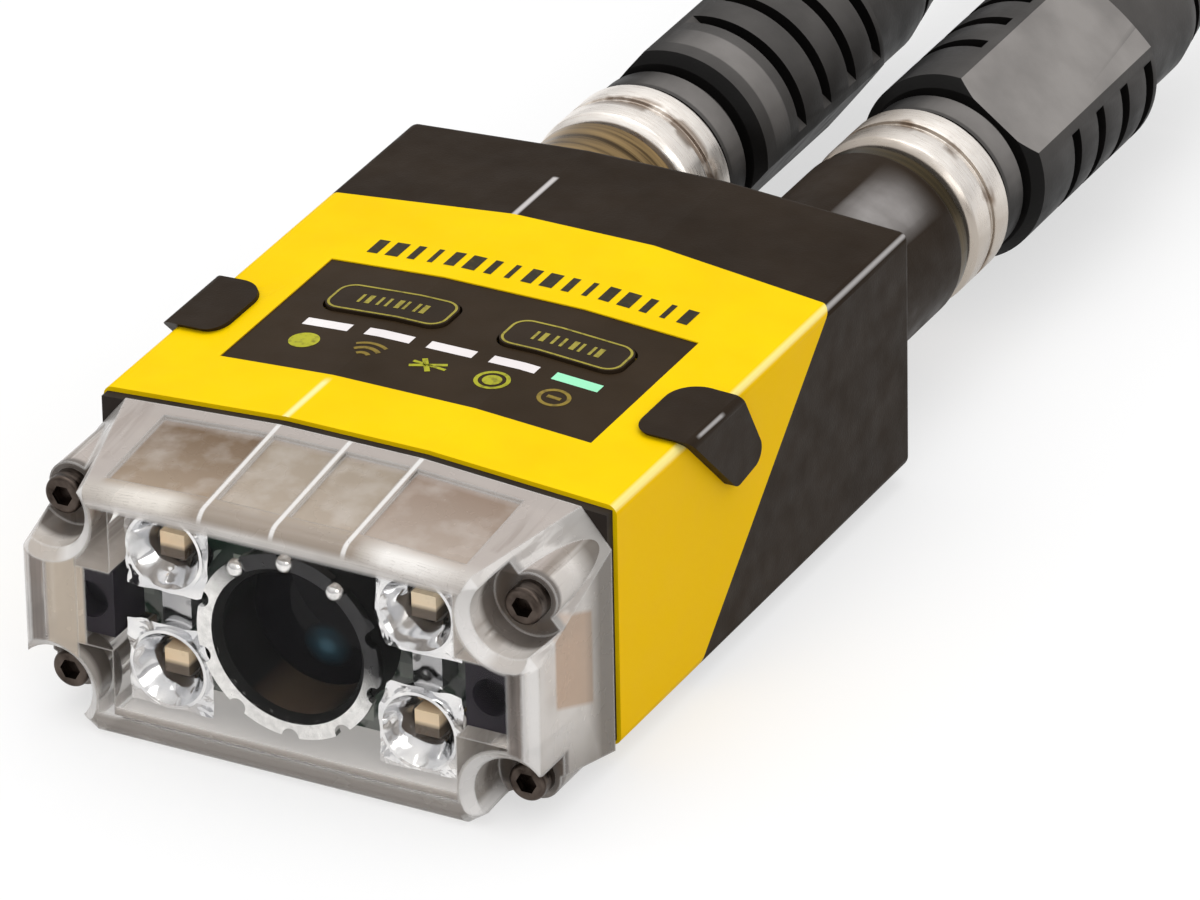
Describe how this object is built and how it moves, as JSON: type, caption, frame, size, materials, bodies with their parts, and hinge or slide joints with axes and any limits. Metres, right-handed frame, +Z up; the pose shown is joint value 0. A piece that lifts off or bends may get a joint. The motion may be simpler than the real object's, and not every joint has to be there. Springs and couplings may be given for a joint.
{
  "type": "barcode reader",
  "caption": "Compact fixed-mount barcode reader with a clear front window over lens and lamps, a top panel with status lights and keys, and corded plugs with coupling nuts at the rear.",
  "frame": {"origin": "on the base plane, under the middle of the reader without its plugs and cords", "axes": "+Z up, the lens looks along -Y, and +Y runs back to the plugs"},
  "size_m": [0.0558, 0.2633, 0.0357],
  "materials": {
    "yellow_shell": "fine satin moulding",
    "black_shell": "fine satin moulding",
    "clear_cover": "clear, smoke tint",
    "seal": "matt",
    "screw_steel": "black oxide",
    "insert_brass": "turned",
    "overlay": "satin film",
    "light_window": "frosted",
    "lit_window": "frosted, lit",
    "key_film": "satin film",
    "chip_black": "moulded package",
    "lamp_chip": "ceramic with a resin fill",
    "inner_frame": "moulded, light grey",
    "board_green": "solder mask",
    "lens_glass": "coated",
    "barrel_black": "satin black",
    "ring_silver": "turned",
    "reflector_silver": "mirror",
    "socket_brass": "turned, aged",
    "nut_nickel": "nickel plated",
    "contact_gold": "gold plated",
    "insulator": "moulded",
    "plug_body": "satin overmould",
    "cord_jacket": "satin jacket",
    "core_jacket": "smooth insulation",
    "clear_plug": "clear moulding",
    "tie_fabric": "woven hook-and-loop"
  },
  "bodies": {
    "reader": {"front_housing": "yellow_shell", "front_lens": "lens_glass", "front_window": "clear_cover", "hank_ties": "tie_fabric", "illumination_board": "board_green", "illumination_leds": "lamp_chip", "image_sensor": "chip_black", "indicator_leds": "lamp_chip", "indicator_light_1": "light_window", "indicator_light_2": "light_window", "indicator_light_3": "light_window", "indicator_light_4": "light_window", "indicator_light_5": "lit_window", "indicator_panel": "overlay", "key_switches": "chip_black", "left_aimer": "chip_black", "left_corner_cap": "black_shell", "left_reflector": "reflector_silver", "lens_barrel": "barrel_black", "lens_holder": "inner_frame", "lens_ring": "ring_silver", "main_board": "board_green", "mounting_inserts": "insert_brass", "network_contacts": "contact_gold", "network_cord_hank": "cord_jacket", "network_cord_lead": "cord_jacket", "network_cord_plug": "clear_plug", "network_cord_tail": "cord_jacket", "network_insert": "insulator", "network_plug": "plug_body", "network_socket": "socket_brass", "power_contacts": "contact_gold", "power_cord_cores": "core_jacket", "power_cord_hank": "cord_jacket", "power_cord_lead": "cord_jacket", "power_cord_tail": "cord_jacket", "power_insert": "insulator", "power_plug": "plug_body", "power_socket": "socket_brass", "processor": "chip_black", "rear_housing": "black_shell", "rear_lens": "lens_glass", "right_aimer": "chip_black", "right_corner_cap": "black_shell", "right_reflector": "reflector_silver", "sensor_board": "board_green", "window_gasket": "seal", "window_screws": "screw_steel"},
    "tune_key": {"tune_key": "key_film"},
    "trigger_key": {"trigger_key": "key_film"},
    "network_nut": {"network_nut": "nut_nickel"},
    "power_nut": {"power_nut": "nut_nickel"}
  },
  "joints": [
    {"name": "tune_key_press", "type": "slide", "parent": "reader", "child": "tune_key", "axis": [0, 0, -1], "range_m": [0, 0.0004], "stiffness_N_per_m": 400, "springref_m": -0.0005},
    {"name": "trigger_key_press", "type": "slide", "parent": "reader", "child": "trigger_key", "axis": [0, 0, -1], "range_m": [0, 0.0004], "stiffness_N_per_m": 400, "springref_m": -0.0005},
    {"name": "network_nut_turn", "type": "hinge", "parent": "reader", "child": "network_nut", "pos_m": [0.0106, 0.0406, 0.0108], "axis": [0, 1, 0], "continuous": true},
    {"name": "power_nut_turn", "type": "hinge", "parent": "reader", "child": "power_nut", "pos_m": [-0.0106, 0.035, 0.0108], "axis": [0, 1, 0], "continuous": true}
  ]
}
